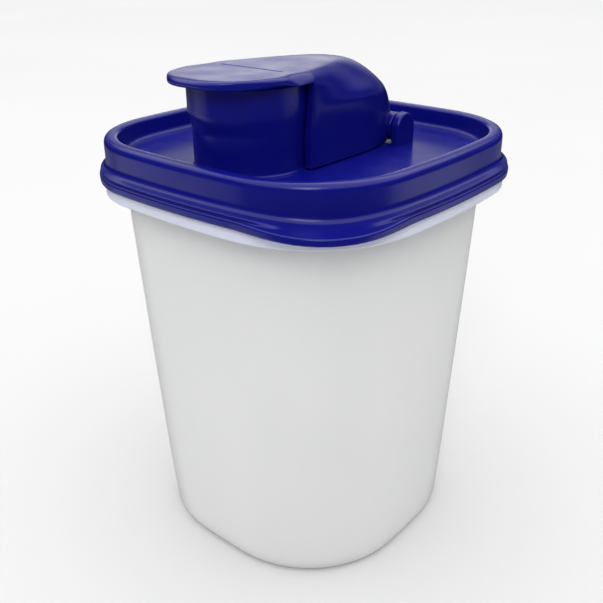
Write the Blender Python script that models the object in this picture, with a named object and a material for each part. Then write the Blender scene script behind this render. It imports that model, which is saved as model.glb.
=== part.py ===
"""Square cereal dispenser: a translucent container, a press-on pouring lid and a hinged flip cap.

The frame is +Z up with the origin at the centre of the base. The spout points to -Y, and the
cap's hinge lies behind it along X. Lengths are in millimetres here and turn into metres in loft().
"""
import math

import bmesh
import bpy

MM = 0.001

# Plan of the lid: a square with bowed sides and round corners, measured at the groove line.
LID_HALF = 65.0
LID_SIDE_BOW = 345.0
LID_CORNER = 41.2
SIDE_STEPS = 4
CORNER_STEPS = 8

# Heights above the base.
BASE_RECESS = 1.0
COLLAR_BOTTOM = 136.4
COLLAR_TOP = 140.5
SKIRT_BOTTOM = 140.8
GROOVE = 144.7
DECK = 148.3
RIM_TOP = 155.2
SPOUT_FLARE_START = 155.7
SPOUT_FLARE_HEIGHT = 10.0
SPOUT_TOP = 175.6
CAP_TOP = 179.0

# Moulding walls.
CONTAINER_WALL = 1.6
CONTAINER_BASE = 2.2
LID_WALL = 1.3
DECK_WALL = 1.6
SPOUT_WALL = 1.8
CAP_WALL = 1.6
CAP_PLATE = 3.0

# Container body, outside.
BODY_TOP_HALF = 54.0
BODY_BASE_HALF = 52.1
BODY_TOP_CORNER = 24.7
BODY_BASE_CORNER = 42.2
BODY_SIDE_BOW = 336.0
BASE_FILLET = 4.0

# Pull tab: how far the lid's skirt stands out at the corner between +X and -Y. At the other
# three corners the skirt and the container's collar are drawn in a little.
TAB_REACH = 7.0
TAB_DIRECTION = math.radians(-45.0)
CORNER_DRAW_IN = 1.4
CORNER_HALF_ANGLE = math.radians(42.0)

# Spout: half an ellipse to the front and half to the rear of this centre.
SPOUT_CENTRE_Y = -27.5
SPOUT_STEPS = 40
SPOUT_HALF_WIDTH = 18.9
SPOUT_FRONT = 18.4
SPOUT_REAR = 22.0
SPOUT_LIP_HALF_WIDTH = 19.3
SPOUT_LIP_FRONT = 21.2

# Hinge of the cap.
HINGE_Y = 26.0
HINGE_Z = 154.1
KNUCKLE_RADIUS = 5.0
KNUCKLE_INNER_X = 16.5
KNUCKLE_OUTER_X = 22.6
PIN_RADIUS = 2.0
PIN_END_X = 24.6
EAR_INNER_X = 23.0
EAR_OUTER_X = 26.0
EAR_RADIUS = 5.4
EAR_HOLE_RADIUS = 2.3
EAR_HOLE_END_X = 25.0
ROUND_STEPS = 24

# Flip cap.
CAP_OUTLINE_STEPS = 24
LIP_CENTRE_Y = -27.3
LIP_POWER = 2.05
CHEEK_FRONT_Y = -20.9
CHEEK_BOW_Y = -22.9
CAP_BOTTOM = 148.9
PLUG_DEPTH = 2.4
PLUG_WALL = 1.2
PLUG_GAP = 0.5
PLUG_REAR_GAP = 1.7


def clear_scene():
    """Remove every object of the start-up scene."""
    for item in list(bpy.data.objects):
        bpy.data.objects.remove(item, do_unlink=True)


def new_collection(name):
    """Add a collection to the scene."""
    group = bpy.data.collections.new(name)
    bpy.context.scene.collection.children.link(group)
    return group


def plastic(name, colour, roughness, alpha=1.0):
    """A moulded plastic."""
    mat = bpy.data.materials.new(name)
    mat.use_nodes = True
    shader = mat.node_tree.nodes["Principled BSDF"]
    shader.inputs["Base Color"].default_value = (*colour, 1.0)
    shader.inputs["Roughness"].default_value = roughness
    shader.inputs["Metallic"].default_value = 0.0
    shader.inputs["Alpha"].default_value = alpha
    mat.diffuse_color = (*colour, alpha)
    return mat


def rounded_square(half, side_bow, corner):
    """Plan points and outward directions of a square with bowed sides and round corners.

    Each side is an arc of radius side_bow through (half, 0), and it runs smoothly into a
    corner arc whose centre lies on the diagonal.
    """
    reach = side_bow - half
    centre = (math.sqrt(2 * (side_bow - corner) ** 2 - reach ** 2) - reach) / 2
    turn = math.atan2(centre, centre + reach)
    points = []
    for quarter in range(4):
        base = quarter * math.pi / 2
        for step in range(SIDE_STEPS):
            angle = turn * (2 * step / SIDE_STEPS - 1)
            x, y = half - side_bow + side_bow * math.cos(angle), side_bow * math.sin(angle)
            points.append(turned(x, y, angle, base))
        for step in range(CORNER_STEPS):
            angle = turn + (math.pi / 2 - 2 * turn) * step / CORNER_STEPS
            x, y = centre + corner * math.cos(angle), centre + corner * math.sin(angle)
            points.append(turned(x, y, angle, base))
    return points


def turned(x, y, angle, base):
    """A plan point and its outward direction, turned about the origin by base."""
    cos_b, sin_b = math.cos(base), math.sin(base)
    return x * cos_b - y * sin_b, x * sin_b + y * cos_b, angle + base


def corner_share(direction, corner):
    """1 in the middle of a corner, falling smoothly to 0 where the sides start."""
    away = math.remainder(direction - corner, 2 * math.pi)
    if abs(away) >= CORNER_HALF_ANGLE:
        return 0.0
    return math.cos(away / CORNER_HALF_ANGLE * math.pi / 2) ** 2


def lid_ring(offset, z, tab=0.0, draw_in=0.0):
    """The lid's plan moved outward by offset.

    Where tab is 1 the pull tab stands out in full, and where draw_in is 1 the other three
    corners are drawn in.
    """
    ring = []
    outline = rounded_square(LID_HALF + offset, LID_SIDE_BOW + offset, LID_CORNER + offset)
    for x, y, direction in outline:
        reach = tab * TAB_REACH * corner_share(direction, TAB_DIRECTION)
        for turn in (1, 2, 3):
            share = corner_share(direction, TAB_DIRECTION + turn * math.pi / 2)
            reach -= draw_in * CORNER_DRAW_IN * share
        ring.append((x + reach * math.cos(direction), y + reach * math.sin(direction), z))
    return ring


def body_ring(inset, z):
    """The container's tapered body at height z, moved inward by inset."""
    share = z / COLLAR_BOTTOM
    half = BODY_BASE_HALF + (BODY_TOP_HALF - BODY_BASE_HALF) * share
    corner = BODY_BASE_CORNER + (BODY_TOP_CORNER - BODY_BASE_CORNER) * share
    outline = rounded_square(half - inset, BODY_SIDE_BOW - inset, corner - inset)
    return [(x, y, z) for x, y, _ in outline]


def base_fillet(radius, bottom, inset):
    """Rings round the edge between the base and the walls, from the base up."""
    rings = []
    for step in range(5):
        angle = math.pi / 2 * step / 4
        lift = radius * (1 - math.cos(angle))
        inward = inset + radius * (1 - math.sin(angle))
        rings.append([(x, y, bottom + lift) for x, y, _ in body_ring(inward, bottom)])
    return rings


def loft(name, rings, group):
    """A closed solid through rings of equal length, with its two ends capped."""
    bm = bmesh.new()
    loops = [[bm.verts.new((x * MM, y * MM, z * MM)) for x, y, z in ring] for ring in rings]
    count = len(loops[0])
    for lower, upper in zip(loops, loops[1:]):
        for i in range(count):
            j = (i + 1) % count
            bm.faces.new((lower[i], lower[j], upper[j], upper[i]))
    bm.faces.new(loops[0])
    bm.faces.new(loops[-1])
    bmesh.ops.recalc_face_normals(bm, faces=bm.faces)
    mesh = bpy.data.meshes.new(name)
    bm.to_mesh(mesh)
    bm.free()
    obj = bpy.data.objects.new(name, mesh)
    group.objects.link(obj)
    return obj


def rod(name, radius, x_from, x_to, y, z, group):
    """A round bar along X."""
    bm = bmesh.new()
    bmesh.ops.create_cone(bm, cap_ends=True, segments=ROUND_STEPS, radius1=radius * MM,
                          radius2=radius * MM, depth=(x_to - x_from) * MM)
    mesh = bpy.data.meshes.new(name)
    bm.to_mesh(mesh)
    bm.free()
    obj = bpy.data.objects.new(name, mesh)
    obj.rotation_euler = (0.0, math.pi / 2, 0.0)
    obj.location = ((x_from + x_to) / 2 * MM, y * MM, z * MM)
    group.objects.link(obj)
    return obj


def combine(target, tool, operation):
    """Join tool to target or cut it away, and keep tool as a hidden guide."""
    modifier = target.modifiers.new(tool.name, "BOOLEAN")
    modifier.operation = operation
    modifier.solver = "EXACT"
    modifier.object = tool
    tool.hide_render = True
    tool.display_type = "WIRE"


def finish_part(obj, mat):
    """Give a part its material and smooth shading with crisp edges."""
    obj.data.materials.append(mat)
    obj.data.shade_smooth()
    obj.data.set_sharp_from_angle(angle=math.radians(35.0))


def build_container(parts, mat):
    """Tapered body, a neck that enters the lid's rim, and a downturned collar below the lid."""
    recess = 8.0
    neck_outer, neck_inner = -4.8, -6.5
    neck_top = RIM_TOP - 1.5 - 0.4
    collar_outer, collar_inner = -1.1, -2.5
    outer = [body_ring(recess + 1.2, BASE_RECESS), body_ring(recess, 0.0)]
    outer[0] = [(x, y, BASE_RECESS) for x, y, _ in outer[0]]
    outer += base_fillet(BASE_FILLET, 0.0, 0.0)
    shoulder = COLLAR_BOTTOM
    outer += [body_ring(0.0, z) for z in (45.0, 90.0, shoulder - 6.0, shoulder - 2.0)]
    outer += [
        lid_ring(-8.8, shoulder + 0.8, 0.0, 0.5), lid_ring(-7.2, shoulder + 2.2, 0.0, 0.7),
        lid_ring(collar_inner, shoulder + 2.6, 0.0, 1.0),
        lid_ring(collar_inner, shoulder + 0.3, 0.0, 1.0),
        lid_ring(collar_inner + 0.4, shoulder, 0.0, 1.0),
        lid_ring(collar_outer - 0.3, shoulder, 0.0, 1.0),
        lid_ring(collar_outer, shoulder + 0.4, 0.0, 1.0),
        lid_ring(collar_outer, COLLAR_TOP - 0.3, 0.0, 1.0),
        lid_ring(collar_outer - 0.3, COLLAR_TOP, 0.0, 1.0),
        lid_ring(neck_outer, COLLAR_TOP + 0.2), lid_ring(neck_outer, neck_top - 0.5),
        lid_ring(neck_outer - 0.5, neck_top),
    ]
    inner = [
        lid_ring(neck_inner + 0.5, neck_top), lid_ring(neck_inner, neck_top - 0.5),
        lid_ring(neck_inner, COLLAR_TOP + 0.8), lid_ring(-8.2, COLLAR_TOP - 0.8),
        lid_ring(-10.6, shoulder + 1.6, 0.0, 0.3),
    ]
    inner += [body_ring(CONTAINER_WALL, z) for z in (shoulder - 2.0, shoulder - 6.0, 90.0, 45.0)]
    floor = BASE_RECESS + CONTAINER_BASE
    inner += reversed(base_fillet(BASE_FILLET - CONTAINER_WALL, floor, CONTAINER_WALL))
    container = loft("container", outer + inner, parts)
    finish_part(container, mat)
    return container


def rim_profile():
    """Rings of the lid without its spout, from the deck's top out over the rim and back under."""
    wall_out, wall_in = -3.2, -8.1
    channel_out, channel_in = wall_out - LID_WALL, wall_in + LID_WALL
    channel_top = RIM_TOP - 1.5
    under_deck = DECK - DECK_WALL
    return [
        lid_ring(-9.6, DECK), lid_ring(wall_in - 0.4, DECK + 0.6),
        lid_ring(wall_in, RIM_TOP - 0.9), lid_ring(-7.6, RIM_TOP - 0.2), lid_ring(-7.0, RIM_TOP),
        lid_ring(-5.2, RIM_TOP), lid_ring(-4.0, RIM_TOP - 0.4), lid_ring(wall_out - 0.1, RIM_TOP - 1.4),
        lid_ring(wall_out, RIM_TOP - 3.0), lid_ring(wall_out, GROOVE + 3.0),
        lid_ring(-2.8, GROOVE + 1.4, 0.0, 0.3), lid_ring(-1.6, GROOVE + 0.5, 0.0, 0.7),
        lid_ring(0.0, GROOVE + 0.1, 0.0, 1.0), lid_ring(0.1, GROOVE - 0.3, 0.0, 1.0),
        lid_ring(-0.4, GROOVE - 0.7, 0.1, 1.0), lid_ring(-0.3, GROOVE - 1.1, 0.9, 1.0),
        lid_ring(0.3, GROOVE - 1.2, 1.0, 1.0), lid_ring(0.5, GROOVE - 1.7, 1.0, 1.0),
        lid_ring(0.4, SKIRT_BOTTOM + 0.4, 1.0, 1.0), lid_ring(0.1, SKIRT_BOTTOM, 1.0, 1.0),
        lid_ring(-0.6, SKIRT_BOTTOM, 1.0, 1.0), lid_ring(-0.8, SKIRT_BOTTOM + 0.3, 1.0, 1.0),
        lid_ring(-0.8, GROOVE - 2.5, 1.0, 1.0), lid_ring(-1.3, GROOVE - 2.2, 0.8, 1.0),
        lid_ring(-2.2, GROOVE - 1.6, 0.0, 0.6),
        lid_ring(channel_out, GROOVE - 0.6), lid_ring(channel_out, channel_top - 0.4),
        lid_ring(channel_out - 0.4, channel_top), lid_ring(channel_in + 0.4, channel_top),
        lid_ring(channel_in, channel_top - 0.4), lid_ring(channel_in, under_deck + 0.5),
        lid_ring(channel_in - 0.5, under_deck),
    ]


def spout_ring(z, flare, inset=0.0):
    """The spout's plan at height z; flare runs from 0 at the foot to 1 at the pouring lip."""
    half_width = SPOUT_HALF_WIDTH + (SPOUT_LIP_HALF_WIDTH - SPOUT_HALF_WIDTH) * flare - inset
    front = SPOUT_FRONT + (SPOUT_LIP_FRONT - SPOUT_FRONT) * flare - inset
    ring = []
    for step in range(SPOUT_STEPS):
        angle = 2 * math.pi * step / SPOUT_STEPS
        reach = SPOUT_REAR - inset if math.sin(angle) > 0 else front
        ring.append((half_width * math.cos(angle), SPOUT_CENTRE_Y + reach * math.sin(angle), z))
    return ring


def flare_at(z):
    """Smooth step of the pouring lip between its foot and its full width."""
    share = min(1.0, max(0.0, (z - SPOUT_FLARE_START) / SPOUT_FLARE_HEIGHT))
    return share * share * (3.0 - 2.0 * share)


def spout_heights():
    """Heights of the spout's rings above the deck."""
    return [SPOUT_FLARE_START + SPOUT_FLARE_HEIGHT * step / 4 for step in range(5)]


def arch(x):
    """Side view of a hinge ear: a half round top on a straight foot that enters the deck."""
    ring = [(x, HINGE_Y + EAR_RADIUS, DECK - 0.8)]
    for step in range(13):
        angle = math.pi * step / 12
        ring.append((x, HINGE_Y + EAR_RADIUS * math.cos(angle), HINGE_Z + EAR_RADIUS * math.sin(angle)))
    ring.append((x, HINGE_Y - EAR_RADIUS, DECK - 0.8))
    return ring


def build_lid(parts, guides, mat):
    """Rim, recessed deck, pouring spout with its mouth, and two hinge ears."""
    lid = loft("pouring_lid", rim_profile(), parts)
    walls = [spout_ring(DECK - 0.8, 0.0)] + [spout_ring(z, flare_at(z)) for z in spout_heights()]
    walls += [spout_ring(SPOUT_TOP - 0.4, 1.0), spout_ring(SPOUT_TOP, 1.0, 0.4)]
    combine(lid, loft("spout_outside", walls, guides), "UNION")
    for side in (-1, 1):
        ear = loft("ear_%d" % side, [arch(side * EAR_INNER_X), arch(side * EAR_OUTER_X)], guides)
        combine(lid, ear, "UNION")
    hollow = [spout_ring(DECK - 6.0, 0.0, SPOUT_WALL)]
    hollow += [spout_ring(z, flare_at(z), SPOUT_WALL) for z in spout_heights()]
    hollow += [spout_ring(SPOUT_TOP + 2.0, 1.0, SPOUT_WALL)]
    combine(lid, loft("spout_passage", hollow, guides), "DIFFERENCE")
    holes = rod("ear_holes", EAR_HOLE_RADIUS, -EAR_HOLE_END_X, EAR_HOLE_END_X, HINGE_Y, HINGE_Z, guides)
    combine(lid, holes, "DIFFERENCE")
    finish_part(lid, mat)
    return lid


def oval_half(width, centre_y, end_y, power, z):
    """Half of a squared ellipse from (width, centre_y) round (0, end_y) to (-width, centre_y)."""
    half = []
    for step in range(CAP_OUTLINE_STEPS):
        angle = math.pi * (step + 0.5) / CAP_OUTLINE_STEPS
        cos_a, sin_a = math.cos(angle), math.sin(angle)
        radius = (abs(cos_a) ** power + abs(sin_a) ** power) ** (-1.0 / power)
        half.append((width * radius * cos_a, centre_y + (end_y - centre_y) * radius * sin_a, z))
    return half


def plate_ring(z, width, front_y, rear_y, rear_power):
    """The cap's plan where the thumb lip is part of it."""
    rear = oval_half(width, LIP_CENTRE_Y, rear_y, rear_power, z)
    front = oval_half(width, LIP_CENTRE_Y, front_y, LIP_POWER, z)
    return rear + front[::-1]


def hood_ring(z, width, front_y, rear_y, power, slack=0.0):
    """The cap's plan below the lip: a squared ellipse to the rear and a straight front."""
    rear = oval_half(width, CHEEK_FRONT_Y, rear_y, power, z)
    straight = []
    for step in range(CAP_OUTLINE_STEPS):
        share = 1.0 - 2.0 * (step + 0.5) / CAP_OUTLINE_STEPS
        straight.append((width * share, front_y - slack, z))
    return rear + straight[::-1]


def tuck(z):
    """How far the cap reaches behind its hinge below the pin, so that it clears the deck."""
    drop = HINGE_Z - z
    radius = KNUCKLE_RADIUS + 0.4
    return HINGE_Y + math.sqrt(radius ** 2 - drop ** 2)


def hood_sections():
    """Height, half width, front, rear and squareness of the hood, from the lip down."""
    low = [(HINGE_Z, 22.4), (HINGE_Z - 2.8, 22.4), (HINGE_Z - 4.4, 22.4), (CAP_BOTTOM, 22.3)]
    sections = [
        (CAP_TOP - CAP_PLATE, 21.8, CHEEK_FRONT_Y, 22.6, 2.4),
        (HINGE_Z + 19.1, 21.6, CHEEK_FRONT_Y, 28.9, 2.9),
        (HINGE_Z + 14.6, 21.6, CHEEK_FRONT_Y - 0.3, 30.7, 3.4),
        (HINGE_Z + 10.0, 22.0, CHEEK_FRONT_Y - 1.2, 31.4, 3.9),
        (HINGE_Z + 5.1, 22.3, CHEEK_BOW_Y, 31.4, 5.0),
    ]
    return sections + [(z, width, CHEEK_BOW_Y, tuck(z), 6.0) for z, width in low]


def cap_outside():
    """Rings of the cap's outer form: flat top, rounded lip, then the hood down to the deck."""
    rings = [
        plate_ring(CAP_TOP, 21.6, -54.9, 3.5, 1.8),
        plate_ring(CAP_TOP - 0.4, 22.6, -55.8, 10.5, 2.0),
        plate_ring(CAP_TOP - 1.3, 23.1, -56.2, 17.0, 2.2),
        plate_ring(CAP_TOP - 2.4, 22.9, -56.0, 21.2, 2.3),
        plate_ring(CAP_TOP - CAP_PLATE, 22.2, -55.3, 22.5, 2.4),
    ]
    return rings + [hood_ring(*section) for section in hood_sections()]


def cap_hollow():
    """Rings of the space under the cap, open at the bottom and past the cheeks' front edges."""
    ceiling = CAP_TOP - CAP_PLATE - 0.2
    rings = [hood_ring(ceiling, 19.7, CHEEK_FRONT_Y, 12.5, 2.0, 10.0),
             hood_ring(ceiling - 1.4, 20.0, CHEEK_FRONT_Y, 19.0, 2.3, 10.0)]
    for z, width, front_y, rear_y, power in hood_sections()[1:]:
        rings.append(hood_ring(z - 0.4, width - CAP_WALL, front_y, rear_y - CAP_WALL, power, 10.0))
    last = hood_sections()[-1]
    rings.append(hood_ring(CAP_BOTTOM - 2.0, last[1] - CAP_WALL, last[2], last[3] - CAP_WALL, last[4], 10.0))
    return rings


def plug_ring(z, inset):
    """Plan of the plug that enters the spout's mouth, with more room at the rear to swing out."""
    ring = []
    for x, y, _ in spout_ring(z, 1.0, SPOUT_WALL + PLUG_GAP + inset):
        shift = (PLUG_REAR_GAP - PLUG_GAP) if y > SPOUT_CENTRE_Y else 0.0
        share = (y - SPOUT_CENTRE_Y) / SPOUT_REAR
        ring.append((x, y - shift * share, z))
    return ring


def build_cap(parts, guides, mat):
    """Top plate with thumb lip, hood with two cheeks, sealing plug, knuckles and hinge pins."""
    cap = loft("flip_cap", cap_outside(), parts)
    combine(cap, loft("cap_hollow", cap_hollow(), guides), "DIFFERENCE")
    underside = CAP_TOP - CAP_PLATE
    plug = loft("plug_outside", [plug_ring(underside - PLUG_DEPTH, 0.4),
                                 plug_ring(underside - PLUG_DEPTH + 0.5, 0.0),
                                 plug_ring(underside + 1.0, 0.0)], guides)
    bore = loft("plug_inside", [plug_ring(underside - PLUG_DEPTH - 1.0, PLUG_WALL),
                                plug_ring(underside - 0.2, PLUG_WALL)], guides)
    combine(plug, bore, "DIFFERENCE")
    combine(cap, plug, "UNION")
    for side in (-1, 1):
        ends = sorted((side * KNUCKLE_INNER_X, side * KNUCKLE_OUTER_X))
        knuckle = rod("knuckle_%d" % side, KNUCKLE_RADIUS, *ends, HINGE_Y, HINGE_Z, guides)
        combine(cap, knuckle, "UNION")
        ends = sorted((side * (KNUCKLE_OUTER_X - 3.0), side * PIN_END_X))
        pin = rod("pin_%d" % side, PIN_RADIUS, *ends, HINGE_Y, HINGE_Z, guides)
        combine(cap, pin, "UNION")
    finish_part(cap, mat)
    return cap


def main():
    """Build the three mouldings."""
    clear_scene()
    parts = new_collection("cereal_dispenser")
    guides = new_collection("guides")
    clear_plastic = plastic("translucent_container", (0.80, 0.81, 0.81), 0.35, 0.6)
    blue_plastic = plastic("blue_lid", (0.012, 0.014, 0.22), 0.32)
    blue_cap_plastic = plastic("blue_cap", (0.010, 0.012, 0.20), 0.30)
    build_container(parts, clear_plastic)
    build_lid(parts, guides, blue_plastic)
    build_cap(parts, guides, blue_cap_plastic)


main()
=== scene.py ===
"""Looks of a square cereal dispenser: its three mouldings, plastics, light and camera.

Lengths are in millimetres up to the place where a mesh, a light or the camera is made. The
frame is the CAD's: +Z up, the origin at the centre of the base, the spout towards -Y.
"""
import math

import bmesh
import bpy
import numpy as np
from mathutils import Matrix, Vector


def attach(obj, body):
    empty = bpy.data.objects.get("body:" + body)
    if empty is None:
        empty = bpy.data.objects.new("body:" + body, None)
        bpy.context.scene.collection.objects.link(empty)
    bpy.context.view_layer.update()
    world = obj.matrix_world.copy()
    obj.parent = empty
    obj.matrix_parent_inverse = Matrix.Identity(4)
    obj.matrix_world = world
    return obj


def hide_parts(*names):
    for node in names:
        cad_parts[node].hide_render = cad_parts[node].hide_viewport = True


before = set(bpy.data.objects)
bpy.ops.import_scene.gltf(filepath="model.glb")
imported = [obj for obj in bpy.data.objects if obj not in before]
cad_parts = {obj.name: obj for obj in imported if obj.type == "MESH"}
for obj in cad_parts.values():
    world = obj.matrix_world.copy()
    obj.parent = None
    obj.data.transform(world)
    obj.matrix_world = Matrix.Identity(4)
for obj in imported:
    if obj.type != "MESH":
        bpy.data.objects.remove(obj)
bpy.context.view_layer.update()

MM = 0.001

# Plan of the lid: a square with bowed sides and round corners, measured at the groove line.
LID_HALF = 65.0
LID_SIDE_BOW = 345.0
LID_CORNER = 41.2
SIDE_STEPS = 16
CORNER_STEPS = 20

# Heights above the base.
BASE_RECESS = 1.0
COLLAR_BOTTOM = 136.4
COLLAR_TOP = 140.5
SKIRT_BOTTOM = 140.8
GROOVE = 144.7
DECK = 148.3
RIM_TOP = 155.2
SPOUT_FLARE_START = 160.3
SPOUT_FLARE_HEIGHT = 7.0
SPOUT_TOP = 175.6
CAP_TOP = 179.0
CHANNEL_TOP = RIM_TOP - 1.5
NECK_TOP = CHANNEL_TOP - 0.4

# Moulding walls.
CONTAINER_WALL = 1.6
CONTAINER_BASE = 2.2
LID_WALL = 1.3
DECK_WALL = 1.6
SPOUT_WALL = 1.8
CAP_PLATE = 3.0

# Container body, outside.
BODY_TOP_HALF = 54.0
BODY_BASE_HALF = 52.1
BODY_TOP_CORNER = 24.7
BODY_BASE_CORNER = 42.2
BODY_SIDE_BOW = 336.0
BASE_FILLET = 4.0
FOOT_RECESS = 8.0
BASE_CENTRE = 30.0
LOWEST_WALL_RING = 16
WALL_RING_STEP = 12

# Distances outward from the lid's plan.
NECK_OUTER = -4.8
NECK_INNER = -6.5
COLLAR_OUTER = -1.1
COLLAR_INNER = -2.5
RIM_OUTER = -3.2
RIM_INNER = -8.1
SKIRT_INNER = -0.8

# Pull tab on the lid's skirt, and the small draw-in of the other three corners.
TAB_REACH = 7.0
TAB_DIRECTION = math.radians(-45.0)
CORNER_DRAW_IN = 1.4
CORNER_HALF_ANGLE = math.radians(42.0)

# Spout: half an ellipse to the front and half to the rear of this centre.
SPOUT_CENTRE_Y = -27.5
SPOUT_HALF_WIDTH = 19.0
SPOUT_FRONT = 19.3
SPOUT_REAR = 22.0
SPOUT_LIP_HALF_WIDTH = 19.3
SPOUT_LIP_FRONT = 21.2

# Hinge of the cap.
HINGE_Y = 26.0
HINGE_Z = 154.1
KNUCKLE_RADIUS = 5.0
KNUCKLE_INNER_X = 16.5
KNUCKLE_OUTER_X = 22.6
PIN_RADIUS = 2.0
PIN_END_X = 24.6
EAR_INNER_X = 23.0
EAR_OUTER_X = 26.0
EAR_RADIUS = 5.4
EAR_HOLE_RADIUS = 2.3
EAR_HOLE_END_X = 25.0
ROUND_STEPS = 48

# Flip cap. Its top has a rounded shoulder, and narrows to the rear by CAP_TAPER.
CAP_STEPS = 72
CAP_HALF_WIDTH = 22.4
CAP_SHOULDER = 4.6
CAP_SHOULDER_DROP = 5.0
CAP_TAPER = 0.6
CAP_TAPER_DROP = 12.0
LIP_FRONT_Y = -55.2
LIP_EDGE = 3.2
LIP_HALF_WIDTH = 22.6
LIP_POWER = 2.3
CREASE_POWER = 3.2
LIP_BLEND_FROM_Y = -36.0
LIP_BLEND_TO_Y = -28.0
CHEEK_FRONT_Y = -20.9
CHEEK_BOW_Y = -22.9
CHEEK_INNER_X = 19.5
HUMP_START_Y = 5.0
HUMP_END_Y = 30.4
HUMP_DROP = 16.0
HUMP_POWER = 2.6
CAP_BOTTOM = 148.9
PLUG_DEPTH = 2.4
PLUG_WALL = 1.2
PLUG_GAP = 0.5
PLUG_REAR_GAP = 1.7

# The plain shallow groove across the cap's top, cut by a rod.
MARK_Y = -26.6
MARK_HALF_LENGTH = 13.4
MARK_RADIUS = 1.0
MARK_RISE = 0.72

# First rings of the space under the cap: depth, extra side wall and rear end of each.
HOLLOW_TOP = ((3.2, 1.4, 13.0), (3.7, 0.6, 17.5), (4.4, 0.2, 21.0))
HOLLOW_SLACK = 10.0
HOLLOW_REAR_WALL = 1.3

# Colours.
LID_BLUES = ((0.0023, 0.0032, 0.136), (0.0032, 0.0042, 0.161))
CAP_BLUES = ((0.0022, 0.0030, 0.128), (0.0030, 0.0038, 0.151))
MILKY_WHITES = ((0.93, 0.935, 0.935), (0.96, 0.965, 0.96))
# Painted light: a bluish tint put into the collar's colour for blue light from the lid, not the
# plastic's own colour.
COLLAR_PAINTED_LID_LIGHT = (0.82, 0.85, 0.99, 1.0)
FLOOR_GREYS = ((0.55, 0.55, 0.55), (0.56, 0.56, 0.56))

# Gloss.
PLASTIC_IOR = 1.5
PLASTIC_SPECULAR = 0.25
BLUE_ROUGHNESS = (0.19, 0.27)
MILKY_ROUGHNESS = (0.34, 0.44)
MILKY_TRANSMISSION = 0.42

# The floor, the softbox high in front (degrees, metres, watts) and the plain background.
FLOOR_HALF = 30.0
SOFTBOX_AZIMUTH = 33.0
SOFTBOX_ELEVATION = 36.0
SOFTBOX_DISTANCE = 4.0
SOFTBOX_SIZE = 1.5
SOFTBOX_WATTS = 50.0
SOFTBOX_AIM_Z = 0.12
BACKDROP = 0.93

# Brightness of the surroundings, as shares of ROOM_STRENGTH. LOW_GLOW and HIGH_GLOW run from
# behind (0) to in front (1), below and above the horizon. The others run from straight down
# (0) to straight up (1): LOW_SHARE and RISE_GLOW fade those two, and SKY_GLOW is overhead.
ROOM_STRENGTH = 3.6
LOW_GLOW = ((0.0, 0.05), (0.25, 0.08), (0.38, 0.30), (0.56, 0.28), (0.68, 0.03), (1.0, 0.01))
HIGH_GLOW = ((0.0, 0.50), (0.012, 0.47), (0.035, 0.08), (0.12, 0.05), (0.40, 0.06),
             (0.78, 0.03), (1.0, 0.02))
LOW_SHARE = ((0.39, 1.0), (0.44, 0.0))
RISE_GLOW = ((0.50, 0.0), (0.54, 0.12), (0.562, 1.0), (0.585, 1.0), (0.615, 0.46), (0.66, 0.10))
SKY_GLOW = ((0.66, 0.0), (0.82, 1.0))
SKY = 0.57

# Camera: metres and radians.
CAMERA_AZIMUTH = 0.7002
CAMERA_YAW = 0.0051
CAMERA_PITCH = 0.4421
CAMERA_ROLL = -0.0072
CAMERA_DISTANCE = 0.27671
CAMERA_HEIGHT = 0.21777
CAMERA_LENS = 46.418
CAMERA_SHIFT = -0.00083


# ---- outlines -------------------------------------------------------------------------------

def smooth(low, high, value):
    """0 below low, 1 above high, and a smooth step between them."""
    share = min(1.0, max(0.0, (value - low) / (high - low)))
    return share * share * (3.0 - 2.0 * share)


def rounded_square(half, side_bow, corner):
    """Plan points and outward directions of a square with bowed sides and round corners."""
    reach = side_bow - half
    centre = (math.sqrt(2 * (side_bow - corner) ** 2 - reach ** 2) - reach) / 2
    turn = math.atan2(centre, centre + reach)
    points = []
    for quarter in range(4):
        base = quarter * math.pi / 2
        for step in range(SIDE_STEPS):
            angle = turn * (2 * step / SIDE_STEPS - 1)
            x, y = half - side_bow + side_bow * math.cos(angle), side_bow * math.sin(angle)
            points.append(turned(x, y, angle, base))
        for step in range(CORNER_STEPS):
            angle = turn + (math.pi / 2 - 2 * turn) * step / CORNER_STEPS
            x, y = centre + corner * math.cos(angle), centre + corner * math.sin(angle)
            points.append(turned(x, y, angle, base))
    return points


def turned(x, y, angle, base):
    """A plan point and its outward direction, turned about the origin by base."""
    cos_b, sin_b = math.cos(base), math.sin(base)
    return x * cos_b - y * sin_b, x * sin_b + y * cos_b, angle + base


def corner_share(direction, corner):
    """1 in the middle of a corner, falling smoothly to 0 where the sides start."""
    away = math.remainder(direction - corner, 2 * math.pi)
    if abs(away) >= CORNER_HALF_ANGLE:
        return 0.0
    return math.cos(away / CORNER_HALF_ANGLE * math.pi / 2) ** 2


def lid_ring(offset, z, tab=0.0, draw_in=0.0, dip=0.0):
    """The lid's plan moved outward by offset, with its pull tab, its drawn-in corners and its
    dip at the tab.
    """
    ring = []
    outline = rounded_square(LID_HALF + offset, LID_SIDE_BOW + offset, LID_CORNER + offset)
    for x, y, direction in outline:
        at_tab = corner_share(direction, TAB_DIRECTION)
        reach = tab * TAB_REACH * at_tab
        for turn in (1, 2, 3):
            share = corner_share(direction, TAB_DIRECTION + turn * math.pi / 2)
            reach -= draw_in * CORNER_DRAW_IN * share
        x += reach * math.cos(direction)
        y += reach * math.sin(direction)
        ring.append((x, y, z - dip * at_tab))
    return np.array(ring)


def body_ring(inset, z, lift=0.0):
    """The container's tapered body at height z, moved inward by inset and up by lift."""
    share = z / COLLAR_BOTTOM
    half = BODY_BASE_HALF + (BODY_TOP_HALF - BODY_BASE_HALF) * share
    corner = BODY_BASE_CORNER + (BODY_TOP_CORNER - BODY_BASE_CORNER) * share
    outline = rounded_square(half - inset, BODY_SIDE_BOW - inset, corner - inset)
    return np.array([(x, y, z + lift) for x, y, _ in outline])


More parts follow.
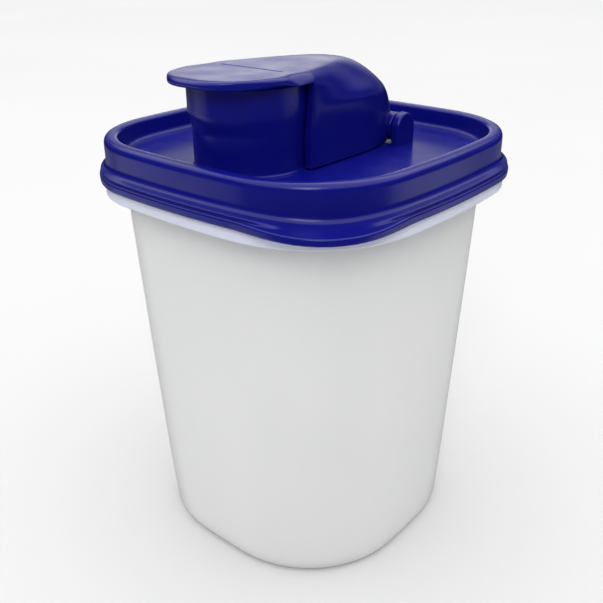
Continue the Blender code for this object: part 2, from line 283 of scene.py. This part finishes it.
def spout_ring(z, flare, inset=0.0):
    """The spout's plan at height z, with one point for each point of the lid's plan."""
    half_width = SPOUT_HALF_WIDTH + (SPOUT_LIP_HALF_WIDTH - SPOUT_HALF_WIDTH) * flare - inset
    front = SPOUT_FRONT + (SPOUT_LIP_FRONT - SPOUT_FRONT) * flare - inset
    ring = []
    for x, y, _ in lid_ring(-9.0, z):
        angle = math.atan2(y - SPOUT_CENTRE_Y, x)
        reach = SPOUT_REAR - inset if angle > 0 else front
        radius = 1.0 / math.hypot(math.cos(angle) / half_width, math.sin(angle) / reach)
        ring.append((radius * math.cos(angle), SPOUT_CENTRE_Y + radius * math.sin(angle), z))
    return np.array(ring)


def flare_at(z):
    """How far the spout has widened towards its pouring lip at height z."""
    return smooth(SPOUT_FLARE_START, SPOUT_FLARE_START + SPOUT_FLARE_HEIGHT, z)


# ---- meshes ---------------------------------------------------------------------------------

def soften(keys, closed, steps=5):
    """Rings through the key rings, with the edge at each one rounded over its own reach."""
    rings = []
    last = len(keys) - 1
    for index, (ring, reach) in enumerate(keys):
        if reach == 0.0 or (not closed and index in (0, last)):
            rings.append(ring)
            continue
        to_last = keys[index - 1][0] - ring
        to_next = keys[(index + 1) % len(keys)][0] - ring
        starts = ring + shortened(to_last, reach)
        ends = ring + shortened(to_next, reach)
        for t in np.linspace(0.0, 1.0, steps + 1):
            rings.append((1 - t) ** 2 * starts + 2 * t * (1 - t) * ring + t ** 2 * ends)
    return rings


def shortened(vectors, reach):
    """The vectors cut to the length reach, or to just under half of their own length."""
    lengths = np.linalg.norm(vectors, axis=1, keepdims=True)
    lengths = np.maximum(lengths, 1e-6)
    return vectors / lengths * np.minimum(reach, 0.45 * lengths)


def loft(name, rings, closed=False):
    """A closed body through rings of equal length. Its ends meet when closed, or are capped."""
    bm = bmesh.new()
    loops = [[bm.verts.new(Vector(point) * MM) for point in ring] for ring in rings]
    count = len(loops[0])
    pairs = list(zip(loops, loops[1:])) + ([(loops[-1], loops[0])] if closed else [])
    for lower, upper in pairs:
        for i in range(count):
            j = (i + 1) % count
            bm.faces.new((lower[i], lower[j], upper[j], upper[i]))
    if not closed:
        bm.faces.new(loops[0])
        bm.faces.new(loops[-1])
    bmesh.ops.remove_doubles(bm, verts=bm.verts, dist=1e-6)
    bmesh.ops.recalc_face_normals(bm, faces=bm.faces)
    mesh = bpy.data.meshes.new(name)
    bm.to_mesh(mesh)
    bm.free()
    obj = bpy.data.objects.new(name, mesh)
    bpy.context.scene.collection.objects.link(obj)
    return obj


def rod(name, radius, x_from, x_to, y, z, edge):
    """A round bar along X whose two end edges are rounded."""
    ring = []
    for step in range(ROUND_STEPS):
        angle = 2 * math.pi * step / ROUND_STEPS
        ring.append((0.0, math.cos(angle), math.sin(angle)))
    ring = np.array(ring)

    def at(x, size):
        return ring * (0.0, size, size) + (x, y, z)

    keys = [(at(x_from, 0.3 * radius), 0.0), (at(x_from, radius), edge),
            (at(x_to, radius), edge), (at(x_to, 0.3 * radius), 0.0)]
    return loft(name, soften(keys, False, 3))


def combine(target, tool, operation):
    """Join tool to target or cut it away, for good."""
    modifier = target.modifiers.new(tool.name, "BOOLEAN")
    modifier.operation = operation
    modifier.solver = "EXACT"
    modifier.object = tool
    graph = bpy.context.evaluated_depsgraph_get()
    mesh = bpy.data.meshes.new_from_object(target.evaluated_get(graph))
    target.modifiers.clear()
    target.data = mesh
    bpy.data.objects.remove(tool, do_unlink=True)


def round_edges(obj, width, least_angle, wanted):
    """Bevel the sharp edges whose middle passes the test wanted."""
    bm = bmesh.new()
    bm.from_mesh(obj.data)
    bmesh.ops.remove_doubles(bm, verts=bm.verts, dist=2e-6)
    bmesh.ops.dissolve_degenerate(bm, edges=bm.edges, dist=2e-6)
    edges = []
    for edge in bm.edges:
        if len(edge.link_faces) == 2 and edge.calc_face_angle(0.0) > least_angle:
            middle = (edge.verts[0].co + edge.verts[1].co) / (2 * MM)
            if wanted(middle):
                edges.append(edge)
    bmesh.ops.bevel(bm, geom=edges, offset=width * MM, segments=3, profile=0.5,
                    affect="EDGES", clamp_overlap=True)
    bm.to_mesh(obj.data)
    bm.free()


def finish_piece(obj, mat, body, node):
    """Shade a moulding, give it its plastic and put it in its CAD node's place."""
    obj.data.materials.clear()
    obj.data.materials.append(mat)
    obj.data.shade_smooth()
    obj.data.set_sharp_from_angle(angle=math.radians(40.0))
    normals = obj.modifiers.new("flat_faces_stay_flat", "WEIGHTED_NORMAL")
    normals.keep_sharp = True
    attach(obj, body)
    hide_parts(node)


# ---- container ------------------------------------------------------------------------------

def base_fillet(radius, bottom, inset):
    """Rings round the edge between the base and the walls, from the base up."""
    rings = []
    for step in range(9):
        angle = math.pi / 2 * step / 8
        inward = inset + radius * (1 - math.sin(angle))
        rings.append((body_ring(inward, bottom, radius * (1 - math.cos(angle))), 0.0))
    return rings


def container_keys():
    """The container from the middle of its underside, up outside and down inside to its floor."""
    shoulder = COLLAR_BOTTOM
    keys = [(body_ring(BASE_CENTRE, 0.0, BASE_RECESS), 0.0),
            (body_ring(FOOT_RECESS + 1.4, 0.0, BASE_RECESS), 0.6),
            (body_ring(FOOT_RECESS, 0.0), 0.6)]
    keys += base_fillet(BASE_FILLET, 0.0, 0.0)
    keys += [(body_ring(0.0, z), 0.0) for z in range(LOWEST_WALL_RING, 130, WALL_RING_STEP)]
    keys += [
        (body_ring(0.0, shoulder - 1.0), 2.0), (lid_ring(-7.6, shoulder + 2.0, 0.0, 0.7), 1.2),
        (lid_ring(COLLAR_INNER, shoulder + 2.6, 0.0, 1.0), 0.5),
        (lid_ring(COLLAR_INNER, shoulder, 0.0, 1.0), 0.5),
        (lid_ring(COLLAR_OUTER, shoulder, 0.0, 1.0), 0.6),
        (lid_ring(COLLAR_OUTER, COLLAR_TOP, 0.0, 1.0), 0.5),
        (lid_ring(NECK_OUTER, COLLAR_TOP + 0.2), 0.4),
        (lid_ring(NECK_OUTER, NECK_TOP), 0.6), (lid_ring(NECK_INNER, NECK_TOP), 0.6),
        (lid_ring(NECK_INNER, COLLAR_TOP + 0.4), 1.0), (lid_ring(-8.6, COLLAR_TOP - 1.2), 1.0),
        (body_ring(CONTAINER_WALL, shoulder), 2.0),
    ]
    keys += [(body_ring(CONTAINER_WALL, z), 0.0) for z in range(124, 10, -WALL_RING_STEP)]
    floor = BASE_RECESS + CONTAINER_BASE
    keys += reversed(base_fillet(BASE_FILLET - CONTAINER_WALL, floor, CONTAINER_WALL))
    keys.append((body_ring(BASE_CENTRE, floor), 0.0))
    return keys


def build_container(mat):
    """Tapered body, foot ring, collar and neck."""
    container = loft("container_moulding", soften(container_keys(), False))
    finish_piece(container, mat, "container", "container")


# ---- lid ------------------------------------------------------------------------------------

def lid_keys():
    """Once round the lid's section: deck, rim, skirt, channel, underside and the spout."""
    channel_out, channel_in = RIM_OUTER - LID_WALL, RIM_INNER + LID_WALL
    under_deck = DECK - DECK_WALL
    keys = [
        (spout_ring(DECK, 0.0), 1.1),
        (lid_ring(-8.9, DECK), 1.9), (lid_ring(RIM_INNER, RIM_TOP), 1.3),
        (lid_ring(RIM_OUTER, RIM_TOP), 2.6), (lid_ring(RIM_OUTER, GROOVE + 1.0, dip=1.3), 2.2),
        (lid_ring(0.15, GROOVE + 0.1, 0.0, 1.0, 1.4), 0.45),
        (lid_ring(-0.5, GROOVE - 0.9, 0.5, 1.0, 0.6), 0.3),
        (lid_ring(0.5, GROOVE - 1.3, 1.0, 1.0, 0.3), 0.7),
        (lid_ring(0.4, SKIRT_BOTTOM, 1.0, 1.0), 0.7),
        (lid_ring(SKIRT_INNER, SKIRT_BOTTOM, 1.0, 1.0), 0.4),
        (lid_ring(SKIRT_INNER, GROOVE - 2.4, 1.0, 1.0), 0.4),
        (lid_ring(channel_out, GROOVE - 0.6), 0.5), (lid_ring(channel_out, CHANNEL_TOP), 0.6),
        (lid_ring(channel_in, CHANNEL_TOP), 0.6), (lid_ring(channel_in, under_deck), 0.6),
        (spout_ring(under_deck, 0.0, SPOUT_WALL), 0.5),
    ]
    heights = np.linspace(SPOUT_FLARE_START, SPOUT_FLARE_START + SPOUT_FLARE_HEIGHT, 13)
    keys += [(spout_ring(z, flare_at(z), SPOUT_WALL), 0.0) for z in heights]
    keys += [(spout_ring(SPOUT_TOP, 1.0, SPOUT_WALL), 0.5), (spout_ring(SPOUT_TOP, 1.0), 0.5)]
    keys += [(spout_ring(z, flare_at(z)), 0.0) for z in heights[::-1]]
    return keys


def ear(side):
    """A hinge ear: a half round top on a straight foot that enters the deck, edges rounded."""
    def arch(x, inset):
        radius = EAR_RADIUS - inset
        ring = [(x, HINGE_Y + radius, DECK - 0.8)]
        for step in range(33):
            angle = math.pi * step / 32
            ring.append((x, HINGE_Y + radius * math.cos(angle), HINGE_Z + radius * math.sin(angle)))
        ring.append((x, HINGE_Y - radius, DECK - 0.8))
        return np.array(ring)

    inner, outer = side * EAR_INNER_X, side * EAR_OUTER_X
    keys = [(arch(inner, 1.5), 0.0), (arch(inner, 0.0), 0.4),
            (arch(outer, 0.0), 0.9), (arch(outer, 1.5), 0.0)]
    return loft("ear_%d" % side, soften(keys, False, 4))


def build_lid(mat):
    """Rim, recessed deck, spout and hinge ears."""
    lid = loft("lid_moulding", soften(lid_keys(), True), closed=True)
    for side in (-1, 1):
        combine(lid, ear(side), "UNION")
    holes = rod("ear_holes", EAR_HOLE_RADIUS, -EAR_HOLE_END_X, EAR_HOLE_END_X,
                HINGE_Y, HINGE_Z, 0.1)
    combine(lid, holes, "DIFFERENCE")
    finish_piece(lid, mat, "lid", "pouring_lid")


# ---- flip cap -------------------------------------------------------------------------------

def quarter_round(share):
    """Height of a quarter circle over its chord, with share running from 0 to 1."""
    share = min(1.0, max(0.0, share))
    return math.sqrt(1.0 - (1.0 - share) ** 2)


def hump_rear(drop):
    """How far the cap reaches to the rear at the depth drop below its top."""
    share = min(1.0, max(0.0, drop / HUMP_DROP))
    run = (1 - (1 - share) ** HUMP_POWER) ** (1 / HUMP_POWER)
    return HUMP_START_Y + (HUMP_END_Y - HUMP_START_Y) * run


def rear_reach(z):
    """Rear end of the cap at height z: the hump, and below the pin a tuck that clears the deck."""
    if z >= HINGE_Z:
        return hump_rear(CAP_TOP - z)
    return HINGE_Y + math.sqrt((KNUCKLE_RADIUS + 0.4) ** 2 - (HINGE_Z - z) ** 2)


def rear_power(z):
    """Squareness of the cap's rear in plan, from an ellipse under the top to a box at the deck."""
    drop = CAP_TOP - z
    top = 1.6 * (1.0 - smooth(0.0, CAP_TAPER_DROP, drop))
    return 1.9 + top + 3.9 * smooth(0.0, 26.0, drop) ** 0.8


def shoulder_width(z):
    """Half width of the cap at its cheeks' front, narrower over the rounded shoulder."""
    return CAP_HALF_WIDTH - CAP_SHOULDER * (1.0 - quarter_round((CAP_TOP - z) / CAP_SHOULDER_DROP))


def rear_half(z, width, rear_y, power):
    """Plan of the cap from (width, CHEEK_FRONT_Y) round the rear to (-width, CHEEK_FRONT_Y)."""
    half = []
    taper = CAP_TAPER * (1.0 - smooth(0.0, CAP_TAPER_DROP, CAP_TOP - z))
    for step in range(CAP_STEPS + 1):
        angle = math.pi * step / CAP_STEPS
        cos_a, sin_a = math.cos(angle), math.sin(angle)
        radius = (abs(cos_a) ** power + abs(sin_a) ** power) ** (-1.0 / power)
        x = width * radius * cos_a * (1.0 - taper * radius * sin_a)
        y = CHEEK_FRONT_Y + (rear_y - CHEEK_FRONT_Y) * radius * sin_a
        half.append((x, y, z))
    return half


def lip_half(z, width, edge):
    """Plan of the thumb lip from -X round the front to +X; edge is 1 at its widest."""
    half = []
    lip_width = LIP_HALF_WIDTH - LIP_EDGE * (1.0 - edge)
    front = LIP_FRONT_Y + LIP_EDGE * (1.0 - edge)
    power = CREASE_POWER + (LIP_POWER - CREASE_POWER) * edge
    for step in range(1, CAP_STEPS):
        angle = math.pi * step / CAP_STEPS
        cos_a, sin_a = math.cos(angle), math.sin(angle)
        radius = (abs(cos_a) ** power + abs(sin_a) ** power) ** (-1.0 / power)
        y = CHEEK_FRONT_Y + (front - CHEEK_FRONT_Y) * radius * sin_a
        share = smooth(LIP_BLEND_FROM_Y, LIP_BLEND_TO_Y, y)
        reach = lip_width + (width - lip_width) * share
        half.append((-reach * radius * cos_a, y, z))
    return half


def front_half(z, width, front_y, slack=0.0):
    """Plan of the hood's front: straight, with round outer corners, from -X to +X."""
    half = []
    corner = 0.7
    for step in range(1, CAP_STEPS):
        share = 2.0 * step / CAP_STEPS - 1.0
        x = width * share
        dip = max(0.0, abs(x) - (width - corner)) / corner
        half.append((x, front_y - slack + corner * (1.0 - math.sqrt(1.0 - dip ** 2)), z))
    return half


def cap_outside():
    """Rings of the cap's outer form: flat top, rounded lip, hump and hood down to the deck."""
    rings = []
    for step in range(13):
        drop = CAP_PLATE * step / 12
        z = CAP_TOP - drop
        width = shoulder_width(z)
        edge = math.sqrt(max(0.0, 1.0 - (drop / CAP_PLATE * 2.0 - 1.0) ** 2))
        rings.append(rear_half(z, width, rear_reach(z), rear_power(z)) + lip_half(z, width, edge))
    z = CAP_TOP - CAP_PLATE
    heights = [z, *np.linspace(z - 0.6, HINGE_Z, 30), *np.linspace(HINGE_Z - 0.7, CAP_BOTTOM, 8)]
    for z in heights:
        front_y = CHEEK_FRONT_Y + (CHEEK_BOW_Y - CHEEK_FRONT_Y) * smooth(0.0, 22.0, CAP_TOP - z)
        width = shoulder_width(z)
        rings.append(rear_half(z, width, rear_reach(z), rear_power(z))
                     + front_half(z, width, front_y))
    return rings


def cap_hollow():
    """Rings of the space under the cap, open at the bottom and past the cheeks' front edges."""
    rings = []
    for drop, narrower, rear_y in HOLLOW_TOP:
        z = CAP_TOP - drop
        width = CHEEK_INNER_X - narrower
        rings.append(rear_half(z, width, rear_y, rear_power(z))
                     + front_half(z, width, CHEEK_FRONT_Y, HOLLOW_SLACK))
    heights = [*np.linspace(CAP_TOP - 5.5, HINGE_Z, 26),
               HINGE_Z - 2.5, CAP_BOTTOM, CAP_BOTTOM - 2.0]
    for z in heights:
        above = rear_reach(max(z, HINGE_Z) + HOLLOW_REAR_WALL)
        rear_y = min(above, rear_reach(max(z, CAP_BOTTOM))) - HOLLOW_REAR_WALL
        rings.append(rear_half(z, CHEEK_INNER_X, rear_y, rear_power(z))
                     + front_half(z, CHEEK_INNER_X, CHEEK_FRONT_Y, HOLLOW_SLACK))
    return rings


def plug_ring(z, inset):
    """Plan of the plug that enters the spout's mouth, with more room at the rear to swing out."""
    ring = []
    for x, y, _ in spout_ring(z, 1.0, SPOUT_WALL + PLUG_GAP + inset):
        shift = (PLUG_REAR_GAP - PLUG_GAP) if y > SPOUT_CENTRE_Y else 0.0
        ring.append((x, y - shift * (y - SPOUT_CENTRE_Y) / SPOUT_REAR, z))
    return np.array(ring)


def plug():
    """The ring under the cap that closes the spout."""
    top, bottom = CAP_TOP - CAP_PLATE + 1.0, CAP_TOP - CAP_PLATE - PLUG_DEPTH
    keys = [(plug_ring(bottom, 0.0), 0.5), (plug_ring(top, 0.0), 0.0),
            (plug_ring(top, PLUG_WALL), 0.0), (plug_ring(bottom, PLUG_WALL), 0.4)]
    return loft("plug", soften(keys, True, 4), closed=True)


def build_cap(mat):
    """Top plate with thumb lip and a plain groove, hood with two cheeks, plug and hinge pins."""
    cap = loft("cap_moulding", cap_outside())
    combine(cap, loft("cap_hollow", cap_hollow()), "DIFFERENCE")
    round_edges(cap, 0.7, math.radians(50.0), lambda at: at.z < CAP_TOP - CAP_PLATE - 0.4)
    combine(cap, plug(), "UNION")
    mark = rod("mark", MARK_RADIUS, -MARK_HALF_LENGTH, MARK_HALF_LENGTH,
               MARK_Y, CAP_TOP + MARK_RISE, 0.3)
    combine(cap, mark, "DIFFERENCE")
    for side in (-1, 1):
        ends = sorted((side * KNUCKLE_INNER_X, side * (KNUCKLE_OUTER_X - 0.4)))
        combine(cap, rod("knuckle", KNUCKLE_RADIUS, *ends, HINGE_Y, HINGE_Z, 0.5), "UNION")
        ends = sorted((side * (KNUCKLE_OUTER_X - 3.0), side * PIN_END_X))
        combine(cap, rod("pin", PIN_RADIUS, *ends, HINGE_Y, HINGE_Z, 0.4), "UNION")
    finish_piece(cap, mat, "cap", "flip_cap")


# ---- plastics -------------------------------------------------------------------------------

def plastic(name, roughness):
    """A new plastic with its shader's fixed numbers set, and a helper to add nodes to it."""
    mat = bpy.data.materials.new(name)
    mat.use_nodes = True
    tree = mat.node_tree
    shader = tree.nodes["Principled BSDF"]
    shader.inputs["Roughness"].default_value = roughness
    shader.inputs["IOR"].default_value = PLASTIC_IOR
    shader.inputs["Specular IOR Level"].default_value = PLASTIC_SPECULAR
    return mat, tree, shader


def noise(tree, scale, detail, roughness=0.5):
    """Noise over the object's own coordinates, which are metres."""
    place = tree.nodes.new("ShaderNodeTexCoord")
    node = tree.nodes.new("ShaderNodeTexNoise")
    node.inputs["Scale"].default_value = scale
    node.inputs["Detail"].default_value = detail
    node.inputs["Roughness"].default_value = roughness
    tree.links.new(place.outputs["Object"], node.inputs["Vector"])
    return node.outputs["Fac"]


def spread(tree, value, low, high):
    """Map a noise value from its usual range to low..high."""
    node = tree.nodes.new("ShaderNodeMapRange")
    node.inputs["From Min"].default_value = 0.3
    node.inputs["From Max"].default_value = 0.7
    node.inputs["To Min"].default_value = low
    node.inputs["To Max"].default_value = high
    tree.links.new(value, node.inputs["Value"])
    return node.outputs["Result"]


def blend_colours(tree, value, low, high):
    """A colour that runs from low to high with value."""
    node = tree.nodes.new("ShaderNodeValToRGB")
    node.color_ramp.elements[0].position = 0.35
    node.color_ramp.elements[0].color = (*low, 1.0)
    node.color_ramp.elements[1].position = 0.65
    node.color_ramp.elements[1].color = (*high, 1.0)
    tree.links.new(value, node.inputs["Fac"])
    return node.outputs["Color"]


def relief(tree, shader, heights):
    """Add up small reliefs, each a (value, metres) pair, and bend the shader's normal by them."""
    last = None
    for value, metres in heights:
        node = tree.nodes.new("ShaderNodeBump")
        node.inputs["Distance"].default_value = metres
        node.inputs["Strength"].default_value = 1.0
        tree.links.new(value, node.inputs["Height"])
        if last:
            tree.links.new(last, node.inputs["Normal"])
        last = node.outputs["Normal"]
    tree.links.new(last, shader.inputs["Normal"])


def blue_plastic(name, dark, light):
    """Deep blue moulded polyolefin: slight cloudiness, uneven gloss and a fine skin."""
    mat, tree, shader = plastic(name, 0.3)
    cloud = noise(tree, 38.0, 3.0)
    tree.links.new(blend_colours(tree, cloud, dark, light), shader.inputs["Base Color"])
    gloss = spread(tree, noise(tree, 90.0, 4.0), *BLUE_ROUGHNESS)
    tree.links.new(gloss, shader.inputs["Roughness"])
    relief(tree, shader, [(noise(tree, 120.0, 2.0), 0.00003), (noise(tree, 1500.0, 2.0), 0.000003)])
    mat.diffuse_color = (*light, 1.0)
    return mat


def clear_plastic():
    """Natural polypropylene: milky and satin, with faint flow marks, and a bluish tint painted on
    the collar near the lid for blue light from the lid.
    """
    mat, tree, shader = plastic("milky_plastic", 0.38)
    shader.inputs["Transmission Weight"].default_value = MILKY_TRANSMISSION
    cloud = blend_colours(tree, noise(tree, 14.0, 3.0), *MILKY_WHITES)
    place = tree.nodes.new("ShaderNodeTexCoord")
    parts = tree.nodes.new("ShaderNodeSeparateXYZ")
    tree.links.new(place.outputs["Object"], parts.inputs[0])
    # Painted light: a band of the collar near the lid is tinted bluish for blue light from the lid.
    near_lid = tree.nodes.new("ShaderNodeMapRange")
    near_lid.interpolation_type = "SMOOTHSTEP"
    near_lid.inputs["From Min"].default_value = (COLLAR_BOTTOM - 6.0) * MM
    near_lid.inputs["From Max"].default_value = (COLLAR_TOP + 4.0) * MM
    tree.links.new(parts.outputs["Z"], near_lid.inputs["Value"])
    painted_lid_light = tree.nodes.new("ShaderNodeMix")
    painted_lid_light.data_type = "RGBA"
    painted_light_band = ramp(tree, near_lid.outputs["Result"],
                ((0.0, 0.0), (0.55, 1.0), (0.80, 1.0), (0.92, 0.0)))
    tree.links.new(painted_light_band, painted_lid_light.inputs["Factor"])
    tree.links.new(cloud, painted_lid_light.inputs["A"])
    painted_lid_light.inputs["B"].default_value = COLLAR_PAINTED_LID_LIGHT
    tree.links.new(painted_lid_light.outputs["Result"], shader.inputs["Base Color"])
    gloss = spread(tree, noise(tree, 60.0, 4.0), *MILKY_ROUGHNESS)
    tree.links.new(gloss, shader.inputs["Roughness"])
    relief(tree, shader, [(noise(tree, 60.0, 2.0), 0.00006), (noise(tree, 1100.0, 3.0), 0.000008)])
    mat.diffuse_color = (0.80, 0.81, 0.81, 0.6)
    return mat


def floor_paint():
    """Pale matt backdrop."""
    mat, tree, shader = plastic("pale_backdrop", 0.9)
    greys = blend_colours(tree, noise(tree, 2.0, 2.0), *FLOOR_GREYS)
    tree.links.new(greys, shader.inputs["Base Color"])
    shader.inputs["Specular IOR Level"].default_value = 0.0
    return mat


# ---- stage ----------------------------------------------------------------------------------

def build_floor():
    """A wide floor."""
    bm = bmesh.new()
    corners = ((-1, -1), (1, -1), (1, 1), (-1, 1))
    bm.faces.new([bm.verts.new((x * FLOOR_HALF, y * FLOOR_HALF, 0.0)) for x, y in corners])
    mesh = bpy.data.meshes.new("floor")
    bm.to_mesh(mesh)
    bm.free()
    floor = bpy.data.objects.new("floor", mesh)
    bpy.context.scene.collection.objects.link(floor)
    mesh.materials.append(floor_paint())
    floor.visible_glossy = False


def build_softbox():
    """A square area light high in front, facing the lid. Azimuth 0 is in front, at -Y."""
    data = bpy.data.lights.new("front", "AREA")
    data.shape = "SQUARE"
    data.size = SOFTBOX_SIZE
    data.energy = SOFTBOX_WATTS
    light = bpy.data.objects.new("front", data)
    bpy.context.scene.collection.objects.link(light)
    az, el = math.radians(SOFTBOX_AZIMUTH), math.radians(SOFTBOX_ELEVATION)
    out = Vector((math.sin(az) * math.cos(el), -math.cos(az) * math.cos(el), math.sin(el)))
    light.location = Vector((0.0, 0.0, SOFTBOX_AIM_Z)) + out * SOFTBOX_DISTANCE
    light.rotation_euler = out.to_track_quat("Z", "Y").to_euler()


def ramp(tree, value, stops):
    """A grey that follows value through stops, each a (place, grey) pair."""
    node = tree.nodes.new("ShaderNodeValToRGB")
    node.color_ramp.interpolation = "EASE"
    elements = node.color_ramp.elements
    while len(elements) < len(stops):
        elements.new(0.5)
    for element, (place, grey) in zip(elements, stops):
        element.position = place
        element.color = (grey, grey, grey, 1.0)
    tree.links.new(value, node.inputs["Fac"])
    return node.outputs["Color"]


def math_node(tree, operation, first, second):
    """One sum or product of two values, each a socket or a number."""
    node = tree.nodes.new("ShaderNodeMath")
    node.operation = operation
    for socket, value in zip(node.inputs, (first, second)):
        if isinstance(value, (int, float)):
            socket.default_value = value
        else:
            tree.links.new(value, socket)
    return node.outputs["Value"]


def build_surroundings():
    """The room's light: bright overhead and low behind, soft at the sides, dim in front."""
    world = bpy.data.worlds.new("studio")
    bpy.context.scene.world = world
    world.use_nodes = True
    tree = world.node_tree
    place = tree.nodes.new("ShaderNodeTexCoord")
    front = tree.nodes.new("ShaderNodeVectorMath")
    front.operation = "DOT_PRODUCT"
    front.inputs[1].default_value = (math.sin(CAMERA_AZIMUTH), -math.cos(CAMERA_AZIMUTH), 0.0)
    tree.links.new(place.outputs["Generated"], front.inputs[0])
    parts = tree.nodes.new("ShaderNodeSeparateXYZ")
    tree.links.new(place.outputs["Generated"], parts.inputs[0])
    toward = math_node(tree, "MULTIPLY", math_node(tree, "ADD", front.outputs["Value"], 1.0), 0.5)
    height = math_node(tree, "MULTIPLY", math_node(tree, "ADD", parts.outputs["Z"], 1.0), 0.5)
    low = math_node(tree, "MULTIPLY", ramp(tree, toward, LOW_GLOW), ramp(tree, height, LOW_SHARE))
    high = math_node(tree, "MULTIPLY", ramp(tree, toward, HIGH_GLOW), ramp(tree, height, RISE_GLOW))
    sky = math_node(tree, "MULTIPLY", ramp(tree, height, SKY_GLOW), SKY)
    glow = math_node(tree, "ADD", math_node(tree, "ADD", low, high), sky)
    room = tree.nodes["Background"]
    tree.links.new(glow, room.inputs["Color"])
    room.inputs["Strength"].default_value = ROOM_STRENGTH
    plain = tree.nodes.new("ShaderNodeBackground")
    plain.inputs["Color"].default_value = (BACKDROP, BACKDROP, BACKDROP, 1.0)
    seen = tree.nodes.new("ShaderNodeLightPath")
    either = tree.nodes.new("ShaderNodeMixShader")
    tree.links.new(seen.outputs["Is Camera Ray"], either.inputs["Fac"])
    tree.links.new(room.outputs[0], either.inputs[1])
    tree.links.new(plain.outputs[0], either.inputs[2])
    tree.links.new(either.outputs[0], tree.nodes["World Output"].inputs["Surface"])


def build_camera():
    """The camera: a fixed place in front and to the right, a little above the cap."""
    yaw = CAMERA_AZIMUTH + CAMERA_YAW
    place = Vector((CAMERA_DISTANCE * math.sin(CAMERA_AZIMUTH),
                    -CAMERA_DISTANCE * math.cos(CAMERA_AZIMUTH), CAMERA_HEIGHT))
    ahead = Vector((-math.sin(yaw) * math.cos(CAMERA_PITCH), math.cos(yaw) * math.cos(CAMERA_PITCH),
                    -math.sin(CAMERA_PITCH)))
    right = ahead.cross(Vector((0.0, 0.0, 1.0))).normalized()
    up = right.cross(ahead)
    turned_right = math.cos(CAMERA_ROLL) * right + math.sin(CAMERA_ROLL) * up
    turned_up = math.cos(CAMERA_ROLL) * up - math.sin(CAMERA_ROLL) * right
    data = bpy.data.cameras.new("camera")
    data.sensor_width = 36.0
    data.lens = CAMERA_LENS
    data.shift_x = CAMERA_SHIFT
    data.shift_y = CAMERA_SHIFT
    data.clip_start = 0.01
    camera = bpy.data.objects.new("camera", data)
    bpy.context.scene.collection.objects.link(camera)
    axes = Matrix((turned_right, turned_up, -ahead)).transposed().to_4x4()
    camera.matrix_world = Matrix.Translation(place) @ axes
    bpy.context.scene.camera = camera


def main():
    """Build everything."""
    build_camera()
    build_surroundings()
    build_softbox()
    build_floor()
    build_container(clear_plastic())
    build_lid(blue_plastic("lid_plastic", *LID_BLUES))
    build_cap(blue_plastic("cap_plastic", *CAP_BLUES))
    bpy.context.scene.view_settings.view_transform = "Standard"


main()
